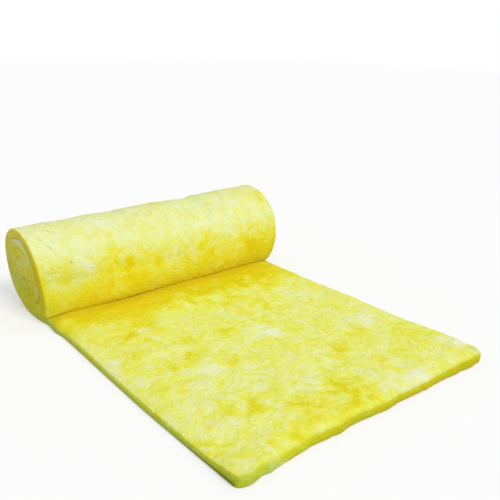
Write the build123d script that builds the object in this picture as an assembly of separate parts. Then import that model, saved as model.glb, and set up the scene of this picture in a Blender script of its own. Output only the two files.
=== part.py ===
from build123d import *
import os

# A glass-wool blanket, rolled up on itself and partly laid out on the floor. It is one piece of wool:
# the sheet runs on under the roll, round its back, over its top and so on into the middle.
# Millimetres. +X runs along the laid sheet to its free end, +Y along the roll and +Z up.
# The origin is on the floor, under the middle of the outline seen from above.

# Driving dimensions
blanket_width = 1200     # along the roll
blanket_thickness = 45   # a 50 mm blanket that has not fully sprung back
roll_radius = 198        # outside of the last lap
front_sag = 45           # how far the roll's front has sagged forwards on to the sheet
laid_length = 1415       # from under the roll's axis to the free end
lap_over = 43            # a lap's thickness over the top of the roll
pressed_share = 0.67     # what the roll's weight leaves of a thickness underneath
smallest_turn = 14       # radius below which the wool no longer turns on itself
seam_width = 5           # gap between two laps, as it shows on the ends
seam_depth = 18          # how far that gap stays open from each end
crease_radius = 5        # where the roll's front meets the sheet
corner_radius = 16       # corners of the free end, seen from above
edge_radius = 6          # cut edges of the wool

# Derived values
half_width = blanket_width / 2
lap_under = lap_over * pressed_share
sheet_under = blanket_thickness * pressed_share
round_crease_x = (roll_radius ** 2 - (roll_radius - blanket_thickness) ** 2) ** 0.5
crease_x = round_crease_x + front_sag
axis_x = (roll_radius - laid_length) / 2


def side_profile():
    # The roll's section is round from its foremost point over the top and back down to the floor. Its
    # lower front runs on from that point as a flatter arc, to the crease, where the sheet's section starts.
    round_side = CenterArc((0, roll_radius), roll_radius, 0, 270)
    lower_front = TangentArc(round_side @ 0, (crease_x, blanket_thickness), tangent=(0, -1))
    sheet = Polyline(
        (crease_x, blanket_thickness),
        (laid_length, blanket_thickness),
        (laid_length, 0),
        (0, 0),
    )
    outline = make_face(round_side + lower_front + sheet)
    crease = outline.vertices().sort_by_distance((crease_x, blanket_thickness))[0]
    return fillet(crease, crease_radius)


def rounded_blanket():
    # The profile across the whole width, with the free end's corners and all cut edges rounded.
    wool = extrude(Plane.XZ * side_profile(), half_width, both=True)
    free_end = wool.faces().sort_by(Axis.X)[-1]
    wool = fillet(free_end.edges().filter_by(Axis.Z), corner_radius)
    ends = wool.faces().filter_by(Axis.Y).sort_by(Axis.Y)
    free_end = wool.faces().filter_by(Axis.X).sort_by(Axis.X)[-1]
    cut_faces = ends[0].edges() + ends[-1].edges() + free_end.edges()
    corner_arcs = wool.edges().filter_by(GeomType.CIRCLE).filter_by(
        lambda edge: abs(edge.radius - corner_radius) < 0.001
    )
    cut_edges = cut_faces.filter_by(Axis.Z, reverse=True) + corner_arcs
    return fillet(cut_edges, edge_radius)


def seam_line():
    # The line between the laps, on an end of the roll, from the crease in to the middle. Half circles
    # behind the axis and in front of it follow in turn, each with its ends on the line up the axis:
    # behind, the seam rises from under a lap to its top, and in front it comes down one lap further in.
    low = sheet_under
    high = 2 * roll_radius - blanket_thickness
    seam = [TangentArc((0, low), (crease_x, blanket_thickness), tangent=(1, 0))]
    behind = True
    while high - low > 2 * smallest_turn:
        turn = (high - low) / 2
        side = -turn if behind else turn
        seam.append(ThreePointArc((0, low), (side, low + turn), (0, high)))
        if behind:
            low += lap_under
        else:
            high -= lap_over
        behind = not behind
    return seam


def seam_cut():
    # The seam as a groove, standing ready to be set into an end.
    groove = trace(seam_line(), seam_width)
    return extrude(Plane.XZ * groove, seam_depth)


def glass_wool_blanket():
    wool = rounded_blanket()
    far_end = Pos(0, half_width, 0) * seam_cut()
    near_end = Pos(0, seam_depth - half_width, 0) * seam_cut()
    return Pos(axis_x, 0, 0) * (wool - far_end - near_end)


os.makedirs("parts", exist_ok=True)
export_step(glass_wool_blanket(), "parts/glass_wool_blanket.step")
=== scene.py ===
import math
from types import SimpleNamespace

import bpy
import numpy as np
from mathutils import Matrix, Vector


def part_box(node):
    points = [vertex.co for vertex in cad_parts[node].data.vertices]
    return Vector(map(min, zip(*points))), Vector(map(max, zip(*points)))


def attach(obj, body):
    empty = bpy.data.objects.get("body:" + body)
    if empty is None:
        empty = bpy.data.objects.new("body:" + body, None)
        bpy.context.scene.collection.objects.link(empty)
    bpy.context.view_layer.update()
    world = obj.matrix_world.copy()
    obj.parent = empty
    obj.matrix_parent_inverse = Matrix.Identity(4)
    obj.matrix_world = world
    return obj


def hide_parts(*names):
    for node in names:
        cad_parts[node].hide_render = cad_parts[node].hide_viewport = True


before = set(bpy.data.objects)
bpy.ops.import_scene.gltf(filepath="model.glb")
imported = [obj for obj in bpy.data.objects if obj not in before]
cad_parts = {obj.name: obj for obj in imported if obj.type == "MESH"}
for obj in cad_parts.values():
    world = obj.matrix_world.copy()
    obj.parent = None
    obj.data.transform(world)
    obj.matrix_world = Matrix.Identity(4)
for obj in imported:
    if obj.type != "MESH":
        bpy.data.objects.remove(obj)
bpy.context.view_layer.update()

# Places that come from the solid: metres, roll along Y, free end towards +X
low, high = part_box("glass_wool_blanket")
halfWidth = high.y
rollRadius = (high.z - low.z) / 2
axisX = low.x + rollRadius
reach = high.x - axisX  # from under the roll's axis to the free end


# Noise and blends on whole arrays

def smoothStep(start, end, value):
    # 0 before start, 1 after end, and 3t^2 - 2t^3 between them
    share = np.clip((value - start) / (end - start), 0, 1)
    return share * share * (3 - 2 * share)


def rise(value, amount, start, end):
    # The amount, coming in from start to end by a smooth step
    return amount * smoothStep(start, end, value)


def between(value, comesIn, goesOut):
    # 0, then 1 between the two spans, then 0 again
    return smoothStep(*comesIn, value) * (1 - smoothStep(*goesOut, value))


def bell(value, height, middle, width):
    # height * e^-((value - middle) / width)^2
    return height * np.exp(-((value - middle) / width) ** 2)


def fade(distance, amount, length):
    # amount * e^-(distance / length)
    return amount * np.exp(-distance / length)


def smoothMax(first, second, blend):
    # The larger of two values, rounded over where they are within about blend of each other
    return (first + second + np.sqrt((first - second) ** 2 + blend ** 2)) / 2


def latticeNoise(points, seed):
    # A random value from -1 to 1 at each corner of a unit lattice, picked by a hash, and blended over the
    # cell by a smooth step along each axis
    values = np.random.default_rng(seed).uniform(-1, 1, 4096)
    cell = np.floor(points).astype(np.int64)
    share = smoothStep(0, 1, points - cell)
    total = np.zeros(len(points))
    for corner in np.ndindex(2, 2, 2):
        at = cell + corner
        key = (at[:, 0] * 73856093 ^ at[:, 1] * 19349663 ^ at[:, 2] * 83492791) % len(values)
        total += values[key] * np.where(corner, share, 1 - share).prod(axis=1)
    return total


def layeredNoise(points, size, layers, seed):
    # Lattice noise with cells of that size, plus layers each of half the size and half the height
    return sum(latticeNoise(points / size * 2 ** k + 7.3 * k, seed + k) / 2 ** k for k in range(layers))


# The blanket: a long strip with a rounded section, carried along its own side view from the free end,
# under the roll, up its back, over its top and so on in to the middle

blanket = {
    "thickness": 0.045,
    "lapOver": 0.043,  # a lap over the top of the roll
    "pressedShare": 0.67,  # what is left of a thickness under the roll
    "smallestTurn": 0.014,
    "gap": 0.0005,  # between laps
    "eye": 0.002,  # radius of the gap in the middle
    # How the roll lies, against the solid's round one
    "nearSize": 0.928,  # its size at its near end, and at its far end
    "farSize": 1.046,
    "skew": 0.026,  # how far askew it lies at each end
    "offFloor": (0.03, 0.12),  # heights between which the floor lets its shape go
    "inFront": (0.0, 0.1),  # and places in front of the axis
    "sagPower": 1.5,  # of the share of the way down to the crease, for the front that sags
    "creaseFar": 0.159,  # crease in front of the axis, at the far end and at the near one
    "creaseNear": 0.19,
    "creaseSpan": (-0.6, 0.9),  # shares of the half width between which it changes
    "creaseRound": 0.0018,  # how softly the roll's front meets the sheet
    "creaseRidge": (0.004, 0.012),  # wool pushed up in the crease: height and width
    "creaseOpens": (-0.02, 0.004),  # places about the crease between which the sheet's top comes free
    # Cuts
    "sheetEdge": 0.006,  # how far the sheet's cuts stand out past their own edges
    "lapEdge": 0.0014,  # and the inner laps' on the roll's ends
    "outerLapEnds": 1.0,  # angle over which the outer lap's edge turns into an inner one's
    "frontEdge": (0.002, 3.6, 4.6),  # more on the roll's lower front: how much, and angles
    "bulge": (1.4, 2.8),  # powers of a cut's superellipse: how low it is fullest, how square it is
    # Sheet's upper edges: how far in their rounding starts, and how deep it goes
    "sideRound": (0.009, 0.009),
    "endRound": (0.026, 0.018),
    "steepest": 0.98,  # share of the way at which they stop, short of upright
    "sideDroop": (0.021, 0.004),  # how much the sheet thins towards its -Y side and its +Y side
    "sideDroopWide": (0.25, 0.11),  # over this width
    "droopByEnd": (-0.1, 0.2),  # it comes in between these distances from the free end
    "droopByCrease": (-0.02, 0.12),  # and between these past the crease
    "endDroop": 0.01,  # how much it thins towards the free end
    "endDroopWide": 0.11,
    "endDroopIn": (-0.94, -0.6),  # shares of the half width between which that comes in
    "endDroopLess": (0.8, 0.3, 0.8),  # and the part of it that goes again
    # Grid
    "step": 0.0064,  # spacing where it shows
    "edgeSteps": 8,  # cells through the thickness
    "innerStep": (0.16, 0.003, 0.008),  # spacing on inner turns: share of their radius, least and most
    "crowded": 0.2,  # columns lie wider in the middle by this share, and closer at the ends
    "rowPower": 1.15,  # and the sheet's rows closer at its free end, by this power
    "outerShows": (0.05, 1.5 * math.pi + 1.15),  # angles between which the roll's outside is fine
    "innerShows": -0.02,  # and place past the far crease from which the sheet's top is
}


def seamTurns():
    # Lowest and highest point of each half turn of the seam, the same ones as in the solid
    turns = []
    bottom = blanket["thickness"] * blanket["pressedShare"]
    top = 2 * rollRadius - blanket["thickness"]
    while top - bottom > 2 * blanket["smallestTurn"]:
        turns.append((bottom, top))
        if len(turns) % 2:
            bottom += blanket["lapOver"] * blanket["pressedShare"]
        else:
            top -= blanket["lapOver"]
    turns = np.array(turns)
    return turns.mean(axis=1), (turns[:, 1] - turns[:, 0]) / 2


seamCentre, seamRadius = seamTurns()
fullTurn = 2 * math.pi
lastAngle = fullTurn + math.pi * len(seamRadius)
roundCrease = math.sqrt(rollRadius ** 2 - (rollRadius - blanket["thickness"]) ** 2)


def seamPoint(angle, offset):
    # Half circles about their own centres. The angle runs on from straight down, by the back, over the top;
    # offset is how far outside the seam the point lies. Past the last turn the radius shrinks to the eye.
    turn = np.clip(((angle - fullTurn) / math.pi).astype(int), 0, len(seamRadius) - 1)
    past = np.clip((angle - lastAngle) / math.pi, 0, 1)
    radius = seamRadius[turn] + offset
    radius = radius + (blanket["eye"] - radius) * past
    return -radius * np.sin(angle), seamCentre[turn] - radius * np.cos(angle)


def creaseAt(yShare):
    # Crease in front of the axis: one smooth step from the near end's value to the far end's
    nearer = 1 - smoothStep(*blanket["creaseSpan"], yShare)
    return blanket["creaseFar"] + (blanket["creaseNear"] - blanket["creaseFar"]) * nearer


def sheetTop(x, crease):
    # Height of the sheet's upper side: full thickness as far as the crease, and from there a parabola
    # down to the pressed thickness under the axis, with a bell-shaped ridge along the crease
    full = blanket["thickness"]
    pressed = full * blanket["pressedShare"]
    ridge, ridgeWide = blanket["creaseRidge"]
    return pressed + (full - pressed) * np.clip(x / crease, 0, 1) ** 2 + bell(x, ridge, crease, ridgeWide)


def settle(x, z, yShare):
    # From the solid's round section to the roll as it lies: scaled about the floor, moved askew, and
    # its front let down on to the sheet, by a power of the share of the way from half height to the crease
    grow = blanket["nearSize"] + (blanket["farSize"] - blanket["nearSize"]) * (yShare + 1) / 2
    skew = blanket["skew"] * yShare
    raised = smoothStep(*blanket["offFloor"], z)
    loose = 1 - (1 - raised) * (1 - smoothStep(*blanket["inFront"], x))
    down = np.clip((rollRadius - z) / (rollRadius - blanket["thickness"]), 0, 1)
    rim = np.sqrt(1 - (down * (1 - blanket["thickness"] / rollRadius)) ** 2)
    outward = smoothStep(0.0, 1.0, x / (rollRadius * rim))
    sag = (creaseAt(yShare) - roundCrease * grow - skew) * down ** blanket["sagPower"] * outward
    return x * (1 + (grow - 1) * loose) + skew * loose + sag, z * (1 + (grow - 1) * raised)


def outerSide(angle, yShare):
    # The side that lies on the floor in the sheet and faces out on the roll: a circle for the first turn,
    # kept on top of the sheet in front, and from there the seam
    first = settle(-rollRadius * np.sin(angle), rollRadius * (1 - np.cos(angle)), yShare)
    sheet = sheetTop(first[0], creaseAt(yShare)) + blanket["gap"] / 2
    onSheet = smoothMax(first[1], sheet, blanket["creaseRound"])
    firstZ = np.where(angle > 1.5 * math.pi, onSheet, first[1])
    later = settle(*seamPoint(angle, -blanket["gap"] / 2), yShare)
    inFirst = angle < fullTurn
    return np.where(inFirst, first[0], later[0]), np.where(inFirst, firstZ, later[1])


def innerSide(angle, yShare):
    # The other side, one turn further on along the seam
    return settle(*seamPoint(angle + fullTurn, blanket["gap"] / 2), yShare)


def rollAngles():
    # Angles at even steps along the outer side, closer together where the turns are small
    dense = np.linspace(0, lastAngle, 20000)
    x, z = outerSide(dense, 0.0)
    length = np.concatenate([[0], np.cumsum(np.hypot(np.diff(x), np.diff(z)))])
    turn = np.clip(((dense - fullTurn) / math.pi).astype(int), 0, len(seamRadius) - 1)
    share, least, most = blanket["innerStep"]
    spacing = np.where(dense < fullTurn, blanket["step"], np.clip(share * seamRadius[turn], least, most))
    count = np.concatenate([[0], np.cumsum(np.diff(length) / spacing[1:])])
    wanted = np.linspace(0, count[-1], int(count[-1]) + 1)
    return np.interp(wanted, count, dense), np.interp(wanted, count, length)


def throughCut():
    # Shares of the thickness at which a cut has its columns, closer together at its edges
    return (1 - np.cos(np.pi * np.arange(1, blanket["edgeSteps"]) / blanket["edgeSteps"])) / 2


def cutBulge(depth):
    # How far a cut stands out: a superellipse across the thickness, fullest below its middle
    lowPower, squarePower = blanket["bulge"]
    return (1 - np.abs(2 * depth ** lowPower - 1) ** squarePower) ** (1 / squarePower)


def edgeSlope(x, y):
    # How far the sheet's upper side lies below its full thickness near its edges: a gentle droop, by the
    # square of the share of the way across it, and then a quarter of an ellipse. Where both edges are near,
    # the larger holds.
    fromEnd = reach - x
    sideDroop = np.where(y < 0, *blanket["sideDroop"]) * smoothStep(*blanket["droopByEnd"], fromEnd)
    sideDroop *= smoothStep(*blanket["droopByCrease"], x - blanket["creaseNear"])
    sideWide = np.where(y < 0, *blanket["sideDroopWide"])
    endDroop = blanket["endDroop"] * smoothStep(*blanket["endDroopIn"], y / halfWidth)
    endDroop *= 1 - rise(y / halfWidth, *blanket["endDroopLess"])
    sides = (halfWidth - np.abs(y), sideDroop, sideWide, blanket["sideRound"])
    end = (fromEnd, endDroop, blanket["endDroopWide"], blanket["endRound"])
    deepest = 0
    for distance, droop, droopWide, (roundIn, roundDown) in (sides, end):
        share = np.clip(1 - distance / droopWide, 0, 1)
        turn = np.clip(1 - distance / roundIn, 0, blanket["steepest"])
        deepest = np.maximum(deepest, droop * share ** 2 + roundDown * (1 - np.sqrt(1 - turn ** 2)))
    return deepest


def sectionLoop():
    # Once round the section: inner side from -Y to +Y, the +Y cut, outer side back, the -Y cut.
    # Gives each column's y as a share of the flat half width, its share of the thickness, and how far the
    # cut stands out there, signed by its end.
    even = np.linspace(-1, 1, int(2 * halfWidth / blanket["step"]))
    across = even * (1 + blanket["crowded"] * (1 - even ** 2))
    depth = throughCut()
    bulge = cutBulge(depth)
    ones = np.ones_like(depth)
    y = np.concatenate([across, ones, across[::-1], -ones])
    share = np.concatenate([across * 0, depth, across * 0 + 1, depth[::-1]])
    stands = np.concatenate([across * 0, bulge, across * 0, -bulge[::-1]])
    return y, share, stands, len(across), len(depth)


def stripPoints():
    # Every row of the strip and every column of its section, in the roll's own place: points, wool
    # coordinates (along the blanket, along the roll, through the thickness), angle and cut of each
    angle, length = rollAngles()
    rows = np.linspace(0, 1, int(reach / blanket["step"]))[:-1]
    flatX = (reach - blanket["sheetEdge"]) * (1 - rows ** blanket["rowPower"])
    along = np.concatenate([flatX, -length])
    angle = np.concatenate([np.full(len(flatX), -1.0), angle])[:, None]
    onFlat = angle < 0
    y, share, stands, wide, deep = sectionLoop()
    outerLap = smoothStep(fullTurn, fullTurn - blanket["outerLapEnds"], angle)
    edge = blanket["lapEdge"] + (blanket["sheetEdge"] - blanket["lapEdge"]) * outerLap
    edge += rise(angle, *blanket["frontEdge"]) * outerLap
    flatHalf = halfWidth - edge
    placeY = y * flatHalf + stands * edge
    yShare = np.clip(placeY / halfWidth, -1, 1)
    turned = np.maximum(angle, 0) + 0 * placeY
    outerX, outerZ = outerSide(turned, yShare)
    innerX, innerZ = innerSide(turned, yShare)
    crease = creaseAt(yShare)
    flat = np.broadcast_to(along[:, None], placeY.shape)
    under = 1 - smoothStep(*blanket["creaseOpens"], flat - crease)
    flatTop = sheetTop(flat, crease) - under * blanket["gap"] / 2
    flatTop -= edgeSlope(flat, placeY) * (1 - under)
    outerX, outerZ = np.where(onFlat, flat, outerX), np.where(onFlat, 0, outerZ)
    innerX, innerZ = np.where(onFlat, flat, innerX), np.where(onFlat, flatTop, innerZ)
    x = innerX * (1 - share) + outerX * share
    z = innerZ * (1 - share) + outerZ * share
    place = np.stack([x, placeY, z], axis=-1)
    woolAt = np.stack([flat, placeY, np.broadcast_to(share * blanket["thickness"], flat.shape)], axis=-1)
    return place, woolAt, angle[:, 0], stands != 0, wide, deep


def quads(first, second):
    # Quads between two rows of vertex numbers of one length
    corners = [first[..., :-1], first[..., 1:], second[..., 1:], second[..., :-1]]
    return np.stack(corners, axis=-1).reshape(-1, 4)


def blanketMesh():
    place, stripWool, angle, cut, wide, deep = stripPoints()
    rows, columns = place.shape[:2]
    number = np.arange(rows * columns).reshape(rows, columns)
    loop = np.hstack([number, number[:, :1]])

    # Cut faces run the whole length. The sides are fine where they show, and one wide face a row where
    # they lie on the floor or on another lap.
    plusCut = loop[:, wide - 1:wide + deep + 1]
    minusCut = loop[:, 2 * wide + deep - 1:]
    faces = [quads(plusCut[:-1], plusCut[1:]), quads(minusCut[:-1], minusCut[1:])]
    polygons = []
    shown = np.zeros((rows, columns), bool)
    shown[:, cut] = True
    innerShows = (angle < 0) & (place[:, 0, 0] > blanket["creaseFar"] + blanket["innerShows"])
    outerShows = (angle > blanket["outerShows"][0]) & (angle < blanket["outerShows"][1])
    upper, lower = number[:, :wide], number[:, wide + deep:2 * wide + deep]
    for side, shows in ((upper, innerShows), (lower, outerShows)):
        first, last = np.flatnonzero(shows)[[0, -1]]
        faces.append(quads(side[first:last], side[first + 1:last + 1]))
        shown.ravel()[side[first:last + 1]] = True
        ends = side[:, [0, -1]]
        faces.append(quads(ends[last + 1:-1], ends[last + 2:]))
        polygons.append([*side[last], *ends[last + 1][::-1]])
        if first:
            faces.append(quads(ends[1:first - 1], ends[2:first]))
            polygons.append([*ends[first - 1], *side[first][::-1]])
            polygons.append([*side[0], *ends[1][::-1]])

    # Cut face of the free end: columns of the sides' edges, and rows through the thickness
    depth = throughCut()[:, None]
    topRow, bottomRow = upper[0], lower[0][::-1]
    top, bottom = place[0, topRow], place[0, bottomRow]
    cap = top[None] * (1 - depth[..., None]) + bottom[None] * depth[..., None]
    cap[..., 0] += blanket["sheetEdge"] * cutBulge(depth)
    capWool = cap.copy()
    capWool[..., 2] = depth * blanket["thickness"]
    capNumber = rows * columns + np.arange(deep * wide).reshape(deep, wide)
    plusEdge, minusEdge = number[0, wide:wide + deep], number[0, 2 * wide + deep:][::-1]
    ladder = np.hstack([minusEdge[:, None], capNumber, plusEdge[:, None]])
    faces += [quads(ladder[1:], ladder[:-1]), quads(capNumber[0], topRow), quads(bottomRow, capNumber[-1])]
    polygons += [
        [topRow[0], minusEdge[0], capNumber[0, 0]],
        [topRow[-1], capNumber[0, -1], plusEdge[0]],
        [bottomRow[0], capNumber[-1, 0], minusEdge[-1]],
        [bottomRow[-1], plusEdge[-1], capNumber[-1, -1]],
    ]

    # The end in the middle of the roll is closed straight across
    faces.append(quads(plusCut[-1], minusCut[-1][::-1]))

    points = np.concatenate([place.reshape(-1, 3), cap.reshape(-1, 3)])
    woolAt = np.concatenate([stripWool.reshape(-1, 3), capWool.reshape(-1, 3)])
    ofCap = np.ones(capNumber.size)
    cutAt = np.concatenate([np.broadcast_to(cut, (rows, columns)).ravel(), 2 * ofCap])
    angleAt = np.concatenate([np.repeat(angle, columns), -ofCap])
    shownAt = np.concatenate([shown.ravel(), ofCap])
    allFaces = np.concatenate(faces).tolist() + [[int(v) for v in p] for p in polygons]
    used, compact = np.unique(np.concatenate([np.array(f) for f in allFaces]), return_inverse=True)
    starts = np.cumsum([len(f) for f in allFaces])[:-1]
    allFaces = [f.tolist() for f in np.split(compact, starts)]
    return points[used], allFaces, woolAt[used], cutAt[used], angleAt[used], shownAt[used]


bends = {
    # Near end of the roll
    "nearEnd": (-1.0, -0.5),  # shares of the half width between which it ends
    "lean": 0.05,  # its outer lap leans out over its bottom, by this share of the height
    "innerLean": 0.075,  # and the laps inside it lean out further
    "leanPivot": 0.75,  # about this share of the radius
    "leanFrom": (0.05, 0.12),  # between these heights
    "backBulge": (0.006, 2.1, 0.5),  # outer lap stands out at its upper back: how far, angle, width
    "pinch": (0.02, 0.3),  # near end of the crease: how far it lies back, share of its height it lacks
    "pinchSpan": (-0.85, -1.0),  # shares of the half width between which that comes in
    "pinchWide": 0.05,
    # Sheet's -Y side: how far in it lies by the roll, and how it comes out again along X
    "sideIn": 0.012,
    "sideOut": (-0.018, 0.25, 1.0),
    "sideBump": (-0.007, 0.24, 0.04),
    "sideAlong": (0.06, 0.19),  # places along X, and shares of the half width, between which this comes in
    "sideAcross": (-0.4, -1.0),
    # Free end
    "endFrom": 0.09,  # how far back from it the sheet is moved with it
    "cornerRound": (0.018, 0.036),  # radius of its corners, seen from above, at -Y and at +Y
    "ragged": (0.006, 0.085, 0.2),  # how far noise moves it, cells, share of the height that counts
    "bowBack": -0.005,
    "farBow": (0.018, -0.5, 0.7),  # and how far out it bows, by shares of the half width
    "nearBow": (0.012, -0.6, -0.9),
    "bumps": ((0.012, -0.56, 0.035), (0.008, -0.48, 0.02), (-0.003, -0.31, 0.03), (0.007, -0.19, 0.03),
              (0.006, 0.42, 0.06)),  # how far out, place along the roll, width
    # Noise that moves all of it: cells, how far along X, Y and Z, and what the floor leaves of that
    "noiseSize": 0.26,
    "noise": (0.003, 0.0015, 0.004),
    "noiseOnFloor": (0.3, 0.4, 0.0),
    "riseOnRoll": 0.4,  # what the roll leaves of the noise along Z
    # Roll's top sinks slowly before each step and comes back sharply at it: place along the roll, height
    "topSteps": ((-0.145, 0.004), (0.262, 0.008)),
    "stepWide": (0.2, 0.018),
    "topSpan": ((2.1, 2.6), (3.5, 4.2)),  # angles at which the top starts and ends
}


def fromCrease(points):
    # Distance from the crease, in the side view
    return np.hypot(points[:, 0] - creaseAt(points[:, 1] / halfWidth), points[:, 2] - blanket["thickness"])


def freeEndOut(y, z):
    # How far the free end stands out: bowed, bumpy and ragged, less quarter circles at its corners
    how, size, heightShare = bends["ragged"]
    ragged = how * layeredNoise(np.stack([y, y * 0, z * heightShare], axis=1), size, 4, 41)
    bow = bends["bowBack"] + rise(y / halfWidth, *bends["farBow"]) + rise(y / halfWidth, *bends["nearBow"])
    radius = np.where(y < 0, *bends["cornerRound"])
    past = np.clip(np.abs(y) - (halfWidth - radius), 0, radius)
    cornerIn = radius - np.sqrt(radius ** 2 - past ** 2)
    return ragged + bow + sum(bell(y, *bump) for bump in bends["bumps"]) - cornerIn


def slowNoise(points, onRoll):
    # A few millimetres each way, less where the floor holds the wool
    held = np.array(bends["noiseOnFloor"])
    offFloor = smoothStep(0, blanket["thickness"], points[:, 2:])
    moved = np.stack([layeredNoise(points, bends["noiseSize"], 2, seed) for seed in (11, 21, 31)], axis=1)
    moved *= bends["noise"] * (held + (1 - held) * offFloor)
    moved[:, 2] *= np.where(onRoll, bends["riseOnRoll"], 1)
    return moved


def bend(points, angle):
    # Slow bends of the whole blanket, from the roll's own place to the solid's
    x, y, z = points.T
    yShare = y / halfWidth
    onRoll = angle >= 0
    nearEnd = 1 - smoothStep(*bends["nearEnd"], yShare)
    lean = np.where(angle > fullTurn, bends["innerLean"], bends["lean"]) * nearEnd
    lean *= onRoll * smoothStep(*bends["leanFrom"], z) * (z - bends["leanPivot"] * rollRadius)
    back = bell(angle, *bends["backBulge"]) * nearEnd
    pinched = bell(fromCrease(points), 1, 0, bends["pinchWide"]) * smoothStep(*bends["pinchSpan"], yShare)
    sideIn = bends["sideIn"] + rise(x, *bends["sideOut"]) + bell(x, *bends["sideBump"])
    sideIn *= (1 - onRoll) * smoothStep(*bends["sideAlong"], x) * smoothStep(*bends["sideAcross"], yShare)
    atEnd = smoothStep(reach - bends["endFrom"], reach, x) * (1 - onRoll)
    pinchBack, pinchDown = bends["pinch"]
    moved = np.stack([
        x + atEnd * freeEndOut(y, z) - back - pinchBack * pinched + axisX,
        y - lean + sideIn,
        z * (1 - pinchDown * pinched),
    ], axis=1)
    return moved + slowNoise(points, onRoll)


def topSteps(points, angle):
    # How far the roll's top rises, by smooth steps
    y = points[:, 1]
    slow, sharp = bends["stepWide"]
    sunk = sum(height * between(y, (at - slow, at - sharp), (at - sharp, at + sharp))
               for at, height in bends["topSteps"])
    return -sunk * between(angle, *bends["topSpan"])


def putIn(name, data):
    made = bpy.data.objects.new(name, data)
    bpy.context.scene.collection.objects.link(made)
    return made


def vectorsOf(items, name):
    vectors = np.empty(len(items) * 3, np.float32)
    items.foreach_get(name, vectors)
    return vectors.reshape(-1, 3).astype(float)


def placesOf(points, woolAt, angle, cut):
    # What the wool's looks go by: where each vertex is in the blanket and in the roll
    along, y, through = woolAt.T
    yShare = y / halfWidth
    flat = np.stack([along, y, 0 * y], axis=1)
    drift = layeredNoise(flat, woolTone["driftSize"], 3, 71)
    creaseFade, fadeDrift = woolTone["creaseFade"]
    past = np.clip(along - creaseAt(yShare), 0, None)
    return SimpleNamespace(
        points=points, flat=flat, along=along, y=y, yShare=yShare, share=through / blanket["thickness"],
        fromNearSide=halfWidth + y, fromFarSide=halfWidth - y, fromEnd=reach - along,
        angle=angle, turn=angle % fullTurn, cut=cut, drift=drift,
        fromCrease=fromCrease(points), pastCrease=past,
        byCrease=bell(past, 1, 0, creaseFade + fadeDrift * drift),
    )


def byPart(at, sheetSide, rollSide, end, sheet, rolled):
    # A value for each part: the sheet's and the roll's cuts, the free end's, and their sides
    return np.select([(at.cut == 1) & (at.angle < 0), at.cut == 1, at.cut == 2, at.angle < 0],
                     [sheetSide, rollSide, end, sheet], rolled)


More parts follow.
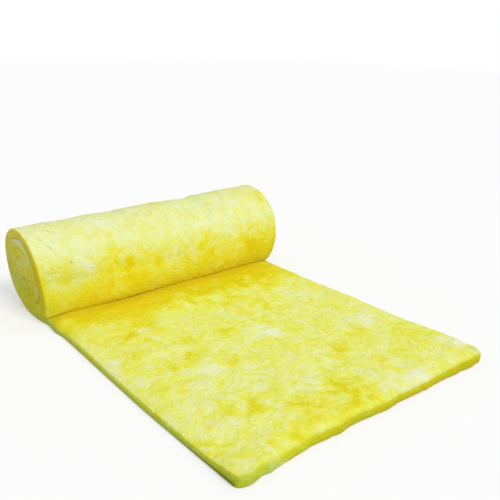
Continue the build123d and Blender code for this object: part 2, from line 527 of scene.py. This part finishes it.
# 0 is the palest wool and 1 the most golden. Three values are how much is added, and where it comes in and
# is full. Shares across are of the half width, and angles run as they do in seamPoint.
woolTone = {
    "sheet": 0.44,
    "rollTop": 0.24,
    "sheetCut": 0.54,
    "rollCut": 0.62,
    "endCut": 0.86,
    "endCorner": 0.5,  # free end's cut, at its -Y corner
    "endCornerSpan": (-0.62, -0.8),
    "crease": 0.55,  # added on the sheet beside the crease: painted bounce light off the roll
    "creaseFade": (0.192, 0.128),  # how wide that is, and how far noise moves it
    "creaseFar": (-0.4, 0.8, 1.0),  # part of that which the far side lacks
    "creaseAngle": 2.45,  # from the roll's top to the crease
    # The roll's pale top and golden lower front are partly the wool's own colour and partly painted light:
    # sheen on the top, bounce light from the sheet lower down
    "front": (0.60, 0.33, 0.86),  # by the share of the way from the roll's top down to the crease
    "back": (0.25, 0.1, 0.9),  # and from its top down its back to the floor
    "frontDrift": 0.12,  # how far noise moves those borders
    "backDrift": 0.2,
    "drift": 0.04,  # how much the same noise moves the tone itself, and its cells
    "driftSize": 0.17,
    "farRim": (0.2, 0.025, 0.0),  # by the distance from the roll's far end
    "farFront": (-0.06, 0.0, 0.8),  # roll's lower front, at its far end
    "farFrontLow": (5.0, 5.5),
    "nearSide": (-0.08, 0.07, 0.0),  # by the distance from the sheet's -Y side
    "nearSideOpen": (0.28, 0.34),
    # Roll's outer lap on its ends: how much, its angles, and how it thins at the seam further up
    "outerLap": 0.26,
    "outerLapEnd": (fullTurn - 0.6, fullTurn + 0.1),
    "outerLapStart": (2.9, 4.0),
    "outerLapIn": (-0.3, 0.3),  # shares of the thickness
    "outerLapOut": (1.0, 0.7, 1.0),
    "outerLapUpper": (4.8, 4.2),
    # Pale streak along the outer seam, partly painted light: how much, shares of the thickness from
    # the seam, and angles
    "streak": -0.5,
    "streakAcross": ((-0.6, -0.3), (-0.05, 0.2)),
    "streakAlong": ((2.6, 3.1), (3.7, 4.2)),
    # Noises on the cuts: how much, and their cells
    "rollBlotches": (0.16, 0.05),
    "endBlotches": (0.2, 0.035),
    "sideDrift": 0.06,
    # How far noise bends the patches' outlines, how much it breaks them up, and its cells
    "patchBend": (0.024, 0.05),
    "patchBreak": (0.8, 0.035),
    # Golden patches (above 0) and pale ones (below 0): place along the blanket, place along the roll and
    # radius in centimetres, and strength in hundredths. The sheet runs from the roll's axis to the free
    # end, and the roll the other way.
    "patches": [
        (33, -33, 8, 10), (30, 2, 12, 15), (34, 20, 9, 25), (36, 32, 8, 20), (28, 39, 9, 20),
        (42, -39, 5, -15), (56, -40, 3, 30), (64, -37, 4, 15), (65, -24, 5, 15), (79, -30, 3, 40),
        (83, -39, 3, 35), (93, -39, 3, 25), (91, -34, 5, -40), (91, -21, 3, 50), (100, -41, 4, -20),
        (66, -57, 5, -20), (53, -33, 3, -20), (80, 4, 5, -35), (71, -8, 4, 20), (96, 42, 6, -30),
        (105, 34, 4, 25), (108, 17, 3, 35), (110, 42, 6, -20), (58, 43, 6, -15), (120, -4, 4, -10),
        (130, -4, 7, 40), (132, -22, 5, 35), (138, -9, 3, 30), (124, -35, 4, 25), (117, -36, 4, 35),
        (136, -34, 4, 25), (115, 48, 7, 20), (137, 22, 6, -20), (126, 22, 4, 15), (135, 56, 6, -25),
        (138, 11, 5, -25), (124, -45, 7, -13), (111, -28, 4, -20), (127, -57, 5, 28), (61, 20, 7, 15),
        (73, -46, 5, 12), (133, -43, 5, 16), (142, 27, 4, -20), (27, -46, 6, 15), (36, -7, 5, 12),
        (43, 9, 5, 20), (93, -45, 4, 10), (-88, -47, 3, 10), (86, -46, 3, -15), (53, -53, 4, -12),
        (98, -19, 3, -15), (68, 30, 5, -12), (116, -11, 4, -18), (126, -12, 3, -20), (129, -32, 3, -20),
        (39, 2, 6, 12), (-92, -23, 8, 50), (-83, -22, 4, -12), (-80, -47, 5, 10), (-96, -50, 5, -15),
        (-97, -43, 4, -12), (-97, -57, 4, -10), (-92, 21, 5, 25), (-93, 41, 5, 25), (-96, 57, 5, 20),
        (-95, 6, 5, -15), (-78, 37, 6, 10), (-71, 56, 4, 25), (-67, -32, 5, -15), (-90, 50, 4, -12),
        (-89, 20, 5, 12), (-92, 2, 5, -10), (-101, -40, 5, 15), (-89, -40, 5, -12), (-81, 38, 3, 8),
        (-77, -2, 4, 6), (-91, -25, 4, 20), (-77, -31, 4, 10), (129, -47, 4, -12), (131, -35, 4, -10),
        (-85, -33, 3, 15), (-93, -10, 4, 12),
    ],
}


def patchTone(at):
    # Sum of the patches: each is 2 to the power of -(distance / radius)^2
    how, size = woolTone["patchBend"]
    along = at.along + how * layeredNoise(at.flat, size, 3, 91)
    y = at.y + how * layeredNoise(at.flat, size, 3, 101)
    total = sum(strength * 2 ** -(((along - atX) ** 2 + (y - atY) ** 2) / radius ** 2)
                for atX, atY, radius, strength in np.array(woolTone["patches"]) / 100)
    how, size = woolTone["patchBreak"]
    return total * (1 + how * layeredNoise(at.flat, size, 2, 111))


def sideTone(at):
    # How golden the wool's sides are: a level for each stretch, the patches, and noise
    down = np.clip((at.angle - math.pi) / woolTone["creaseAngle"], 0, 1)
    behind = 1 - np.clip(at.angle / math.pi, 0, 1)
    front = rise(down + woolTone["frontDrift"] * at.drift, *woolTone["front"])
    back = rise(behind + woolTone["backDrift"] * at.drift, *woolTone["back"])
    rolled = woolTone["rollTop"] + np.where(at.angle > math.pi, front, back)
    rolled += rise(at.fromFarSide, *woolTone["farRim"])
    rolled += rise(at.yShare, *woolTone["farFront"]) * smoothStep(*woolTone["farFrontLow"], at.angle)
    byCrease = at.byCrease * (1 + rise(at.yShare, *woolTone["creaseFar"]))
    # Painted bounce light: more golden beside the crease
    sheet = woolTone["sheet"] + woolTone["crease"] * byCrease
    sheet += rise(at.fromNearSide, *woolTone["nearSide"]) * smoothStep(*woolTone["nearSideOpen"], at.along)
    return np.where(at.angle < 0, sheet, rolled) + woolTone["drift"] * at.drift + patchTone(at)


def rollCutTone(at):
    # The roll's ends: a golden outer lap, and a pale streak on the seam inside it: the next lap's paler
    # outer face, and painted light where that catches the light
    lap = (at.angle > 0) * (1 - smoothStep(*woolTone["outerLapEnd"], at.angle))
    lap *= smoothStep(*woolTone["outerLapStart"], at.turn) * smoothStep(*woolTone["outerLapIn"], at.share)
    lap *= 1 - rise(at.share, *woolTone["outerLapOut"]) * smoothStep(*woolTone["outerLapUpper"], at.turn)
    fromSeam = np.where(at.angle < fullTurn, at.share, at.share - 1)
    streak = between(fromSeam, *woolTone["streakAcross"]) * between(at.turn, *woolTone["streakAlong"])
    streak *= at.angle < 2 * fullTurn
    how, size = woolTone["rollBlotches"]
    blotches = how * layeredNoise(at.points, size, 2, 121)
    return woolTone["rollCut"] + blotches + woolTone["outerLap"] * lap + woolTone["streak"] * streak


def toneOf(at):
    drift = woolTone["sideDrift"] * at.drift
    byCorner = smoothStep(*woolTone["endCornerSpan"], at.yShare)
    how, size = woolTone["endBlotches"]
    end = woolTone["endCut"] + (woolTone["endCorner"] - woolTone["endCut"]) * byCorner
    end += how * layeredNoise(at.points, size, 2, 131)
    rollSide = rollCutTone(at) + drift
    side = sideTone(at)
    # Past its first turn the roll's outside doesn't show
    rolled = np.where(at.angle > fullTurn, rollSide, side)
    return byPart(at, woolTone["sheetCut"] + drift, rollSide, end, side, rolled)


# How brown the wool is, 0 to 1: painted crease shade, how much at the crease and over how far it fades
woolBrownAndCreaseShade = {
    "sheet": (0.5, 0.032),
    "sheetFar": (-0.7, 0.3, 0.9),  # part of it that the far side lacks
    "roll": (0.45, 0.007),
    "rollFar": (-0.8, 0.0, 0.8),
    "near": (0.28, 0.05),  # higher up on the roll, in its near half
    "nearSpan": ((-0.97, -0.8), (-0.1, 0.3)),
    "end": (0.2, -0.8, -0.3),  # free end's cut, away from its -Y corner
}


def brownAndCreaseShadeOf(at):
    # Painted shade by the crease; on the free end's cut it is the wool's own browner colour
    rolled = fade(at.fromCrease, *woolBrownAndCreaseShade["roll"]) * (1 + rise(at.yShare, *woolBrownAndCreaseShade["rollFar"]))
    rolled += fade(at.fromCrease, *woolBrownAndCreaseShade["near"]) * between(at.yShare, *woolBrownAndCreaseShade["nearSpan"])
    sheet = fade(at.fromCrease, *woolBrownAndCreaseShade["sheet"]) * (1 + rise(at.yShare, *woolBrownAndCreaseShade["sheetFar"]))
    end = rise(at.yShare, *woolBrownAndCreaseShade["end"])
    return byPart(at, 0, 0, end, sheet, np.where(at.angle > fullTurn, 0, rolled))


warmEnd = (0.8, -0.3, 0.5)  # free end's cut, towards +Y


def warmOf(at):
    # 1 on the roll and beside the crease, and 0 on the open sheet, whose golden wool is greener. Beside
    # the crease the warmer colours are painted bounce light
    return byPart(at, at.byCrease, 1, rise(at.yShare, *warmEnd), at.byCrease, 1)


# How much darker and greener the wool is, 0 to 1, as in woolTone: partly denser wool on the cuts,
# partly painted shade
woolDenseAndShade = {
    # Sheet's cuts: by the share of the thickness from the top, and by the place along, in front of the roll
    # and towards the free end. Their darkening towards the bottom is painted contact shadow
    "sheetCut": 0.4,
    "sheetCutLow": (0.6, 0.0, 0.7),
    "sheetCutAlong": 0.6,
    "sheetCutOpen": (0.18, 0.15, 0.3),
    "sheetCutEnd": (0.22, 0.95, 1.3),
    # Free end's cut
    "endCut": 0.36,
    "endCutLow": 0.2,
    "endCutCorner": (0.27, -0.7, -0.95),
    "endCutMost": 0.75,
    # Roll's ends, by the angle: down their backs and down their fronts
    "rollCutBack": (0.35, 2.6, 1.2),
    "rollCutFront": (0.35, 4.2, 5.6),
    # Sheet, along its -Y side and more so by the roll, along its free end, at its far corner and crease:
    # painted shade of its rounded edges and of the crease
    "nearSide": 0.12,
    "nearSideByRoll": (0.2, 0.45, 0.3),
    "nearSideWide": (0.045, 0.005),
    "end": (0.5, 0.02, 0.0),
    "farCorner": (0.35, 0.08, 0.02),
    "crease": (0.15, 0.07),
    # Roll: painted shade, most on its near end's lower front and least on its far end's
    "roll": 0.07,
    "rollNear": (0.17, 0.35, 0.1),
    "rollNearLow": (4.2, 4.9),
    "rollFar": (-0.07, 0.0, 0.6),
    "rollFarLow": (4.6, 5.2),
}


def denseAndShadeOf(at):
    sheetSide = woolDenseAndShade["sheetCutAlong"] + rise(at.along, *woolDenseAndShade["sheetCutOpen"])
    sheetSide += rise(at.along, *woolDenseAndShade["sheetCutEnd"])
    sheetSide *= woolDenseAndShade["sheetCut"] + rise(at.share, *woolDenseAndShade["sheetCutLow"])
    end = woolDenseAndShade["endCut"] + woolDenseAndShade["endCutLow"] * at.share
    end = np.minimum(end + rise(at.yShare, *woolDenseAndShade["endCutCorner"]), woolDenseAndShade["endCutMost"])
    rollSide = rise(at.turn, *woolDenseAndShade["rollCutBack"]) + rise(at.turn, *woolDenseAndShade["rollCutFront"])
    nearSide = woolDenseAndShade["nearSide"] + rise(at.along, *woolDenseAndShade["nearSideByRoll"])
    nearSide *= smoothStep(*woolDenseAndShade["nearSideWide"], at.fromNearSide)
    farCorner = rise(np.hypot(at.fromEnd, at.fromFarSide), *woolDenseAndShade["farCorner"])
    sheet = np.maximum(np.maximum(nearSide, rise(at.fromEnd, *woolDenseAndShade["end"])), farCorner)
    sheet += fade(at.pastCrease, *woolDenseAndShade["crease"])
    near = rise(at.fromNearSide, *woolDenseAndShade["rollNear"]) * smoothStep(*woolDenseAndShade["rollNearLow"], at.angle)
    far = rise(at.yShare, *woolDenseAndShade["rollFar"]) * smoothStep(*woolDenseAndShade["rollFarLow"], at.angle)
    return byPart(at, sheetSide, rollSide, end, sheet, woolDenseAndShade["roll"] + near + far)


# Tufts push the surface in and out: how far, cells, finer layers and seed of each noise
tufts = {
    "noises": ((0.0017, 0.05, 3, 51), (0.0024, 0.13, 2, 61)),
    "onCuts": 0.45,  # share of it on the cuts
    "offFloor": (0.0, 0.02),  # it comes in between these heights, and distances from the crease
    "offCrease": (0.0, 0.03),
}


def makeBlanket():
    points, faces, woolAt, cut, angle, shown = blanketMesh()
    mesh = bpy.data.meshes.new("glassWoolBlanket")
    mesh.from_pydata(bend(points, angle).tolist(), [], faces)
    mesh.update()
    places = vectorsOf(mesh.vertices, "co")
    push = sum(height * layeredNoise(woolAt, *noise) for height, *noise in tufts["noises"])
    push *= shown * np.where(cut > 0, tufts["onCuts"], 1) * smoothStep(*tufts["offFloor"], places[:, 2])
    push *= smoothStep(*tufts["offCrease"], fromCrease(points))
    places += vectorsOf(mesh.vertex_normals, "vector") * (push + topSteps(points, angle))[:, None]
    places[:, 2] = np.maximum(places[:, 2], 0)
    mesh.vertices.foreach_set("co", places.astype(np.float32).ravel())
    writeLooks(mesh, woolAt, placesOf(points, woolAt, angle, cut))
    mesh.polygons.foreach_set("use_smooth", np.ones(len(mesh.polygons), bool))
    mesh.update()
    return putIn("glassWoolBlanket", mesh)


def writeLooks(mesh, woolAt, at):
    # Attributes that the material reads
    place = mesh.attributes.new("wool", "FLOAT_VECTOR", "POINT")
    place.data.foreach_set("vector", woolAt.astype(np.float32).ravel())
    # The dense share holds denser wool and painted shade together
    shares = {"tone": toneOf(at), "dense": denseAndShadeOf(at), "ember": brownAndCreaseShadeOf(at), "warm": warmOf(at)}
    for name, values in shares.items():
        share = mesh.attributes.new(name, "FLOAT", "POINT")
        share.data.foreach_set("value", values.astype(np.float32))


wool = makeBlanket()
triangles = sum(len(p.vertices) - 2 for p in wool.data.polygons)
print("blanket", len(wool.data.vertices), "vertices", triangles, "triangles")


# Materials

def fromScreen(red, green, blue):
    # A colour read off a screen, 0 to 255, as the linear values that a shader takes
    share = np.array([red, green, blue]) / 255
    linear = np.where(share <= 0.04045, share / 12.92, ((share + 0.055) / 1.055) ** 2.4)
    return (*linear.tolist(), 1.0)


class Term:
    # A socket that shader maths can be written with; vectors and colours go through Vector Math
    def __init__(self, recipe, socket):
        self.recipe = recipe
        self.socket = socket

    def maths(self, operation, first, second):
        isVector = any(isinstance(t, tuple) or getattr(t, "socket", None) and t.socket.type != "VALUE"
                       for t in (first, second))
        kind = "ShaderNodeVectorMath" if isVector else "ShaderNodeMath"
        return self.recipe.add(kind, {"operation": operation}, {0: first, 1: second})

    def __add__(self, other):
        return self.maths("ADD", self, other)

    def __sub__(self, other):
        return self.maths("SUBTRACT", self, other)

    def __rsub__(self, other):
        return self.maths("SUBTRACT", other, self)

    def __mul__(self, other):
        return self.maths("MULTIPLY", self, other)

    __radd__ = __add__
    __rmul__ = __mul__


class Recipe:
    # The nodes of one material, or of the sky
    def __init__(self, owner):
        owner.use_nodes = True
        self.tree = owner.node_tree
        self.tree.nodes.clear()

    def add(self, kind, settings=None, sockets=None, output=0):
        node = self.tree.nodes.new(kind)
        for name, value in (settings or {}).items():
            if name == "colours":
                setColours(node.color_ramp.elements, value)
            else:
                setattr(node, name, value)
        for key, value in (sockets or {}).items():
            if isinstance(value, Term):
                self.tree.links.new(value.socket, node.inputs[key])
            else:
                node.inputs[key].default_value = value
        return Term(self, node.outputs[output]) if len(node.outputs) else None

    def mix(self, share, first, second):
        return self.add("ShaderNodeMix", {"data_type": "RGBA"}, {0: share, 6: first, 7: second}, 2)

    def ramp(self, value, start, end):
        return self.add(
            "ShaderNodeMapRange",
            {"interpolation_type": "SMOOTHSTEP"},
            {"Value": value, "From Min": start, "From Max": end},
        )

    def noise(self, place, scale, detail, roughness, distortion, output=0):
        return self.add("ShaderNodeTexNoise", {"noise_dimensions": "3D"}, {
            "Vector": place, "Scale": scale, "Detail": detail, "Roughness": roughness,
            "Distortion": distortion,
        }, output)


def setColours(elements, colours):
    while len(elements) < len(colours):
        elements.new(1.0)
    for step, (element, colour) in enumerate(zip(elements, colours)):
        element.position = step / (len(colours) - 1)
        element.color = fromScreen(*colour)


woolLook = {
    # Screen colours at even steps from the palest wool to the most golden, on the sheet and on the roll
    "open": ((239, 244, 208), (238, 243, 170), (237, 240, 124),
             (235, 234, 80), (230, 222, 42), (223, 210, 16)),
    "warm": ((233, 240, 208), (234, 239, 170), (234, 232, 124),
             (235, 227, 80), (236, 220, 40), (234, 210, 14)),
    # Dark brown of the painted crease shade, and of the free end's browner cut
    "ember": fromScreen(184, 142, 8),
    # Darker, greener wool: partly denser fibres, partly painted shade
    "dense": fromScreen(172, 192, 34),
    "bottom": fromScreen(108, 122, 26),  # painted contact shadow at the bottom of the sheet's cuts
    "speck": fromScreen(170, 156, 88),
    # Dark specks on the roll: place along the blanket, along the roll, turn, length
    "specks": [(-0.685, -0.492, -0.9, 0.014), (-0.69, -0.478, -0.8, 0.011), (-0.725, -0.545, -0.8, 0.014),
               (-0.77, -0.525, -0.8, 0.021), (-0.75, -0.50, -0.6, 0.009), (-0.865, -0.513, -1.4, 0.018),
               (-0.85, -0.46, 0.6, 0.012), (-0.99, -0.57, -0.8, 0.009), (-1.02, -0.50, -0.9, 0.008)],
    "speckSlim": 2.4,  # length over width
    "speckFade": (1.0, 0.2),  # shares of its size between which it comes in
    "speckBroken": (0.25, 0.6),  # values of the flecks' noise between which it does
    "speckShare": 0.6,
    # Noises: cells for each metre, how much of the tone's range each moves, its finer layers and its swirl
    "noises": {
        "clouds": (6.0, 0.3, 2.0, 0.0),
        "patches": (17.0, 0.84, 2.0, 1.0),
        "mottle": (36.0, 0.4, 1.0, 0.8),
        "flecks": (80.0, 0.06, 1.0, 0.8),
        "grain": (260.0, 0.014, 2.0, 0.0),
    },
    "twists": ((5.0, 0.09), (24.0, 0.03)),  # noises that bend those: cells for each metre, how far
    # Streaks: turn in the plane of the blanket, and size along, across and through it
    "wisps": ((0.8, (0.07, 0.012, 0.05)), (-0.8, (0.08, 0.013, 0.05))),
    "strokes": ((0.95, (0.09, 0.026, 0.05)), (-0.6, (0.08, 0.026, 0.05))),
    "streakSpan": (0.52, 0.74),
    "wispTone": 0.06,
    "strokeTone": 0.11,
    # The palest and the most golden wool vary least: tones, and what is left or taken off there
    "paleSpan": (0.1, 0.5),
    "paleVaries": 0.5,
    "goldenSpan": (0.6, 1.0),
    "goldenLess": 0.2,
    "shade": (0.13, 30.0, (0.45, 0.75)),  # dense colour in darker spots: share, cells, noise's values
    "bottomShadowSpan": (0.75, 1.1),  # density between which the painted bottom shadow comes in
    # Heights of the bump, for noises and wisps, its strength and its depth
    "relief": {"mottle": 1.2, "flecks": 0.6, "grain": 0.16},
    "wispRelief": 0.16,
    "bumpStrength": 0.8,
    "bumpDepth": 0.0045,
    "roughness": 0.95,
    "specular": 0.15,
}


def woolMaterial():
    material = bpy.data.materials.new("glassWool")
    r = Recipe(material)
    flat = r.add("ShaderNodeAttribute", {"attribute_name": "wool"}, None, "Vector")
    tone, dense, ember, warm = (r.add("ShaderNodeAttribute", {"attribute_name": name}, None, "Fac")
                                for name in ("tone", "dense", "ember", "warm"))
    place = flat
    for size, how in woolLook["twists"]:
        twist = r.noise(flat, size, 2.0, 0.5, 0.0, "Color") - (0.5, 0.5, 0.5)
        place = place + twist * (how, how, 0.0)
    wisps, otherWisps = (streaks(r, place, *wisp) for wisp in woolLook["wisps"])
    wisps = wisps + otherWisps
    golden, pale = (streaks(r, place, *stroke) for stroke in woolLook["strokes"])
    varied = (golden - pale) * woolLook["strokeTone"] - wisps * woolLook["wispTone"]
    noises = {}
    for name, (size, amount, layers, swirl) in woolLook["noises"].items():
        noises[name] = r.noise(place, size, layers, 0.5, swirl)
        varied = varied + (noises[name] - 0.5) * amount
    paleVaries = woolLook["paleVaries"]
    varies = paleVaries + r.ramp(tone, *woolLook["paleSpan"]) * (1 - paleVaries)
    varies = varies - r.ramp(tone, *woolLook["goldenSpan"]) * woolLook["goldenLess"]
    level = tone + varied * varies
    openWool, warmWool = (r.add("ShaderNodeValToRGB", {"colours": woolLook[name]}, {"Fac": level})
                          for name in ("open", "warm"))
    colour = r.mix(warm, openWool, warmWool)
    share, size, span = woolLook["shade"]
    shade = r.ramp(r.noise(place, size, 2.0, 0.6, 0.6), *span) * share
    # Darker, greener wool, partly denser fibres and partly painted shade, with random darker spots
    colour = r.mix(dense + shade, colour, woolLook["dense"])
    # Painted crease shade in dark brown, and the free end's own browner cut
    colour = r.mix(ember, colour, woolLook["ember"])
    # Painted contact shadow along the bottom of the sheet's cuts
    colour = r.mix(r.ramp(dense, *woolLook["bottomShadowSpan"]), colour, woolLook["bottom"])
    colour = r.mix(specks(r, flat, noises["flecks"]), colour, woolLook["speck"])
    height = wisps * woolLook["wispRelief"]
    for name, amount in woolLook["relief"].items():
        height = height + noises[name] * amount
    bump = r.add("ShaderNodeBump", None, {
        "Strength": woolLook["bumpStrength"], "Distance": woolLook["bumpDepth"], "Height": height,
    })
    shader = r.add("ShaderNodeBsdfPrincipled", None, {
        "Base Color": colour, "Roughness": woolLook["roughness"], "Normal": bump,
        "Specular IOR Level": woolLook["specular"],
    })
    r.add("ShaderNodeOutputMaterial", None, {"Surface": shader})
    return material


def streaks(r, place, turn, size):
    # Long thin streaks of about that size, turned in the plane of the blanket
    turned = r.add("ShaderNodeMapping", {"vector_type": "TEXTURE"}, {
        "Vector": place, "Rotation": (0.0, 0.0, turn), "Scale": size,
    })
    return r.ramp(r.noise(turned, 1.0, 2.0, 0.5, 0.5), *woolLook["streakSpan"])


def specks(r, flat, flecks):
    # Small ovals, broken up by a noise
    ovals = []
    for along, y, turn, long in woolLook["specks"]:
        near = r.add("ShaderNodeMapping", {"vector_type": "TEXTURE"}, {
            "Vector": flat, "Location": (along, y, 0.0), "Rotation": (0.0, 0.0, turn),
            "Scale": (long, long / woolLook["speckSlim"], 1.0),
        })
        away = r.add("ShaderNodeVectorMath", {"operation": "LENGTH"}, {0: near}, "Value")
        ovals.append(r.ramp(away, *woolLook["speckFade"]))
    return sum(ovals[1:], ovals[0]) * r.ramp(flecks, *woolLook["speckBroken"]) * woolLook["speckShare"]


wool.data.materials.append(woolMaterial())
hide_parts("glass_wool_blanket")
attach(wool, "root")
print("materials done")


# Floor, light and camera

stage = {
    "floorSize": 60.0,
    "floorDrop": 0.0006,  # how far it lies under the blanket, so that the two don't share a plane
    "floorColour": 0.6,
    "floorGlow": 0.4,  # seen by the camera alone, so that the open floor is just white
    "skyLight": 0.58,
    "sunLight": 1.64,
    "sunFrom": (0.9, 0.12, 0.97),
    "sunAway": 3.0,
    "sunSpread": 24.0,  # degrees
}


def whiteForCamera(r):
    # 1 for what the camera sees, straight or mirrored, and 0 for what lights the object
    outputs = r.add("ShaderNodeLightPath").socket.node.outputs
    straight, mirrored, through = (Term(r, outputs[f"Is {name} Ray"])
                                   for name in ("Camera", "Glossy", "Transmission"))
    return straight.maths("MAXIMUM", straight, mirrored.maths("MAXIMUM", mirrored, through))


def makeFloor():
    half = stage["floorSize"] / 2
    mesh = bpy.data.meshes.new("floor")
    corners = [(x * half, y * half, -stage["floorDrop"]) for x, y in ((-1, -1), (1, -1), (1, 1), (-1, 1))]
    mesh.from_pydata(corners, [], [(0, 1, 2, 3)])
    material = bpy.data.materials.new("floorWhite")
    r = Recipe(material)
    matt = r.add("ShaderNodeBsdfDiffuse", None, {"Color": (stage["floorColour"],) * 3 + (1.0,)})
    strength = whiteForCamera(r) * stage["floorGlow"]
    glow = r.add("ShaderNodeEmission", None, {"Color": (1, 1, 1, 1), "Strength": strength})
    both = r.add("ShaderNodeAddShader", None, {0: matt, 1: glow})
    r.add("ShaderNodeOutputMaterial", None, {"Surface": both})
    mesh.materials.append(material)
    floor = putIn("floor", mesh)


def makeSky():
    world = bpy.data.worlds.new("studio")
    r = Recipe(world)
    light = r.add("ShaderNodeBackground", None, {"Color": (1, 1, 1, 1), "Strength": stage["skyLight"]})
    white = r.add("ShaderNodeBackground", None, {"Color": (1, 1, 1, 1), "Strength": 1.0})
    both = r.add("ShaderNodeMixShader", None, {0: whiteForCamera(r), 1: light, 2: white})
    r.add("ShaderNodeOutputWorld", None, {"Surface": both})
    bpy.context.scene.world = world


def turnedTo(name, data, right, up, back, place):
    # An object with those three directions as its own X, Y and Z
    turn = np.eye(4)
    turn[:3] = np.stack([right, up, back, place], axis=1)
    made = putIn(name, data)
    made.matrix_world = Matrix(turn.tolist())
    return made


def makeSun():
    light = bpy.data.lights.new("sun", "SUN")
    light.energy = stage["sunLight"]
    light.angle = math.radians(stage["sunSpread"])
    back = np.array(stage["sunFrom"]) / np.linalg.norm(stage["sunFrom"])
    right = np.cross([0, 1, 0], back)
    right /= np.linalg.norm(right)
    turnedTo("sun", light, right, np.cross(back, right), back, stage["sunAway"] * back)


camera = {
    "place": (2.4268, -1.4403, 1.1051),  # from the floor under the middle of the roll's axis
    "heading": 49.42,  # degrees from +Y towards -X
    "dip": 22.94,  # below the horizon
    "lean": 1.71,
    "lens": 44.15,
    "sensor": 36.0,
    "shift": 0.1,
}


def makeCamera():
    data = bpy.data.cameras.new("camera")
    data.lens = camera["lens"]
    data.sensor_width = camera["sensor"]
    data.shift_y = camera["shift"]
    heading, dip, lean = (math.radians(camera[k]) for k in ("heading", "dip", "lean"))
    level = math.cos(dip)
    back = np.array([math.sin(heading) * level, -math.cos(heading) * level, math.sin(dip)])
    right = np.array([math.cos(heading), math.sin(heading), 0.0])
    up = np.cross(back, right)
    place = np.array(camera["place"]) + [axisX, 0, 0]
    rolledRight = math.cos(lean) * right + math.sin(lean) * up
    rolledUp = math.cos(lean) * up - math.sin(lean) * right
    bpy.context.scene.camera = turnedTo("camera", data, rolledRight, rolledUp, back, place)


makeFloor()
makeSky()
makeSun()
makeCamera()
bpy.context.scene.view_settings.view_transform = "Standard"
print("stage done")
